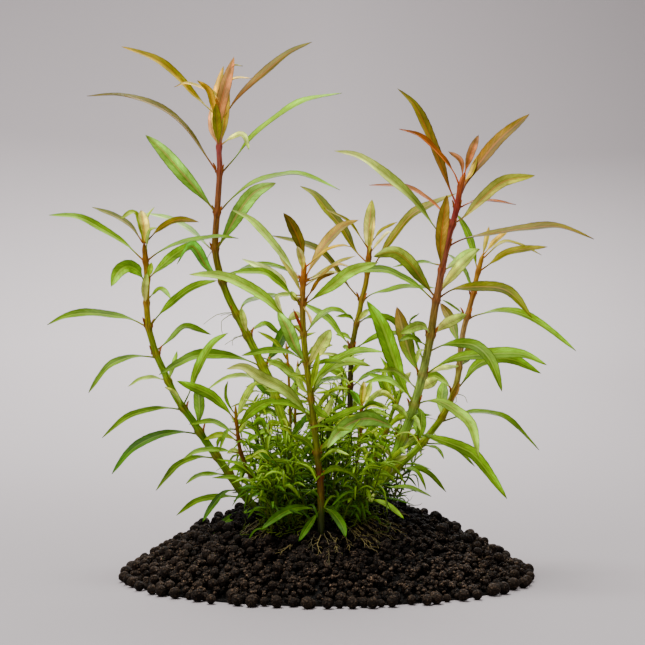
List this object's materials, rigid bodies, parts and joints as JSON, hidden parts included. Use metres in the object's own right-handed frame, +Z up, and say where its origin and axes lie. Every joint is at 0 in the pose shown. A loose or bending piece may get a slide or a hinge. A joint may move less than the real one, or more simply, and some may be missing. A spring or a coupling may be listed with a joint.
{
  "type": "bunch of leafy aquarium stem plants in a heap of soil granules",
  "caption": "Tall and short leafy green stems with red tips, planted in a low round heap of black soil granules that stands by itself on its flat underside.",
  "frame": {"origin": "centre of the soil heap's flat underside", "axes": "+Z up, +X to the right and -Y towards the viewer when the plant is seen from the front"},
  "size_m": [0.1802, 0.1372, 0.1829],
  "materials": {
    "soil": "rough porous black-brown granules of baked clay soil",
    "stem": "smooth living stem, red at the tip, brown in the middle and olive green below",
    "young_shoot": "smooth green to tan young stem with small green leaves",
    "leaf": "satin green leaf with a paler midrib, olive to red-brown at the tips"
  },
  "bodies": {
    "root": {"bush_back": "young_shoot", "bush_back_left": "young_shoot", "bush_back_right": "young_shoot", "bush_front": "young_shoot", "bush_front_left": "young_shoot", "bush_front_right": "young_shoot", "bush_middle": "young_shoot", "leaf_centre_back_1": "leaf", "leaf_centre_back_2": "leaf", "leaf_centre_front_1": "leaf", "leaf_centre_front_2": "leaf", "leaf_centre_front_3": "leaf", "leaf_centre_front_4": "leaf", "leaf_centre_front_5": "leaf", "leaf_far_left_1": "leaf", "leaf_far_left_2": "leaf", "leaf_far_left_3": "leaf", "leaf_far_left_4": "leaf", "leaf_far_left_5": "leaf", "leaf_far_left_6": "leaf", "leaf_far_left_7": "leaf", "leaf_far_left_8": "leaf", "leaf_far_right_1": "leaf", "leaf_far_right_2": "leaf", "leaf_tall_left_1": "leaf", "leaf_tall_left_10": "leaf", "leaf_tall_left_2": "leaf", "leaf_tall_left_3": "leaf", "leaf_tall_left_4": "leaf", "leaf_tall_left_5": "leaf", "leaf_tall_left_6": "leaf", "leaf_tall_left_7": "leaf", "leaf_tall_left_8": "leaf", "leaf_tall_left_9": "leaf", "leaf_tall_right_1": "leaf", "leaf_tall_right_10": "leaf", "leaf_tall_right_11": "leaf", "leaf_tall_right_12": "leaf", "leaf_tall_right_13": "leaf", "leaf_tall_right_2": "leaf", "leaf_tall_right_3": "leaf", "leaf_tall_right_4": "leaf", "leaf_tall_right_5": "leaf", "leaf_tall_right_6": "leaf", "leaf_tall_right_7": "leaf", "leaf_tall_right_8": "leaf", "leaf_tall_right_9": "leaf", "shoot_inner_left": "young_shoot", "shoot_inner_middle": "young_shoot", "shoot_inner_right": "young_shoot", "shoot_small_left": "young_shoot", "shoot_thin_left": "young_shoot", "shoot_thin_middle": "young_shoot", "soil_heap": "soil", "stem_centre_back": "stem", "stem_centre_front": "stem", "stem_far_left": "stem", "stem_far_right": "stem", "stem_tall_left": "stem", "stem_tall_right": "stem"}
  },
  "joints": []
}
